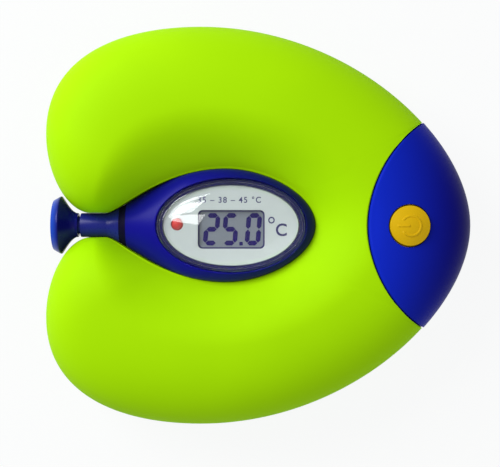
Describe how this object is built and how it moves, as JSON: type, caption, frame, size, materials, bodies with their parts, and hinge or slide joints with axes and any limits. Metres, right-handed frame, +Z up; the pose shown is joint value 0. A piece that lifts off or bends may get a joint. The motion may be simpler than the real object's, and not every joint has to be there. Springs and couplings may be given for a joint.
{
  "type": "floating bath thermometer",
  "caption": "Floating bath thermometer: a hollow two-lobed float around a display case with a clear window, an on/off button in the nose and a probe knob between the lobes.",
  "frame": {"origin": "centre of the bounding box on the plane that the underside rests on", "axes": "+X along the length towards the nose and its button, +Y across the width, +Z up through the window"},
  "size_m": [0.1095, 0.1024, 0.03],
  "materials": {
    "float_green": "satin moulded plastic",
    "nose_blue": "satin moulded plastic",
    "case_blue": "gloss moulded plastic",
    "neck_blue": "gloss translucent plastic",
    "knob_blue": "gloss moulded plastic",
    "button_yellow": "satin moulded plastic",
    "clear_lens": "clear gloss plastic",
    "face_silver": "satin silver paint on a plastic plate",
    "display_glass": "liquid crystal display glass",
    "light_red": "gloss diffusing resin",
    "black_rubber": "soft rubber",
    "black_resin": "moulded resin",
    "circuit_board": "green solder mask",
    "screw_steel": "plain stainless steel",
    "cell_steel": "nickel-plated steel",
    "lead_insulation": "thin wire insulation"
  },
  "bodies": {
    "housing": {"upper_float_shell": "float_green", "lower_float_shell": "float_green", "head_cover": "nose_blue", "head_base": "nose_blue", "button_seal": "black_rubber", "tact_switch": "black_resin", "switch_board": "circuit_board", "board_screw_1": "screw_steel", "board_screw_2": "screw_steel", "case_upper_shell": "case_blue", "case_lower_shell": "case_blue", "battery_door": "case_blue", "battery_door_seal": "black_rubber", "battery_door_screw_1": "screw_steel", "battery_door_screw_2": "screw_steel", "coin_cell_1": "cell_steel", "coin_cell_2": "cell_steel", "battery_contact_minus": "cell_steel", "battery_contact_plus": "cell_steel", "battery_bridge": "cell_steel", "lens_window": "clear_lens", "lens_gasket": "black_rubber", "face_plate": "face_silver", "lcd_panel": "display_glass", "lcd_contact_strip": "black_rubber", "alarm_light": "light_red", "main_board": "circuit_board", "controller_chip": "black_resin", "neck_tube": "neck_blue", "neck_seal_ring": "black_rubber", "probe_knob": "knob_blue", "thermistor": "black_resin", "sensor_lead_1": "lead_insulation", "sensor_lead_2": "lead_insulation", "switch_lead_1": "lead_insulation", "switch_lead_2": "lead_insulation", "shell_screw_1": "screw_steel", "shell_screw_2": "screw_steel", "shell_screw_3": "screw_steel", "shell_screw_4": "screw_steel", "head_screw_1": "screw_steel", "head_screw_2": "screw_steel"},
    "button": {"on_off_button": "button_yellow", "switch_plunger": "black_resin"}
  },
  "joints": [
    {"name": "button_press", "type": "slide", "parent": "housing", "child": "button", "axis": [-0.0626, 0, -0.998], "range_m": [0, 0.0006], "stiffness_N_per_m": 1500}
  ]
}
